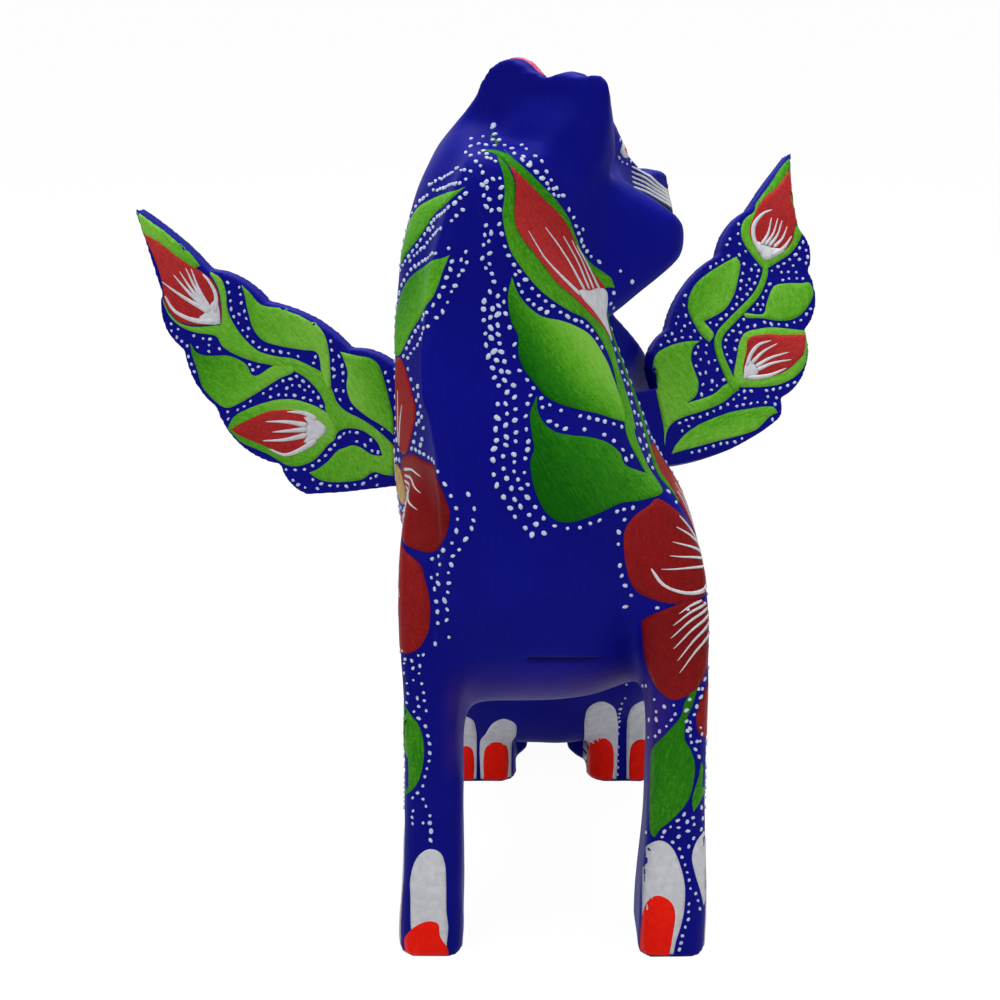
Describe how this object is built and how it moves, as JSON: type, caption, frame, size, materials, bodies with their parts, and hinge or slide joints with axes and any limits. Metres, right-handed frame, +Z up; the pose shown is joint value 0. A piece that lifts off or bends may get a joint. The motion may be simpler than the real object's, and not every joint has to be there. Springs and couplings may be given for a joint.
{
  "type": "carved animal figurine",
  "caption": "Seated winged animal figure carved from wood, looking back over its left shoulder, with plug-in wings and tail and painted flowers.",
  "frame": {"origin": "on the ground, under the middle of the whole figure's box", "axes": "+X to the animal's left, +Y from its chest to its tail, +Z up"},
  "size_m": [0.1852, 0.1753, 0.2225],
  "materials": {
    "painted_wood": "satin paint",
    "bare_wood": "bare"
  },
  "bodies": {
    "figure": {"body": "painted_wood", "head": "painted_wood", "neck_dowel": "bare_wood", "left_ear": "painted_wood", "right_ear": "painted_wood"},
    "left_wing": {"left_wing": "painted_wood"},
    "right_wing": {"right_wing": "painted_wood"},
    "tail": {"tail": "painted_wood"}
  },
  "joints": [
    {"name": "left_wing_pull", "type": "slide", "parent": "figure", "child": "left_wing", "axis": [0.8829, 0.4695, 0], "range_m": [0, 0.012]},
    {"name": "right_wing_pull", "type": "slide", "parent": "figure", "child": "right_wing", "axis": [-0.9511, 0.309, 0], "range_m": [0, 0.012]},
    {"name": "tail_pull", "type": "slide", "parent": "figure", "child": "tail", "axis": [0, 0.8, 0.6], "range_m": [0, 0.013]}
  ]
}
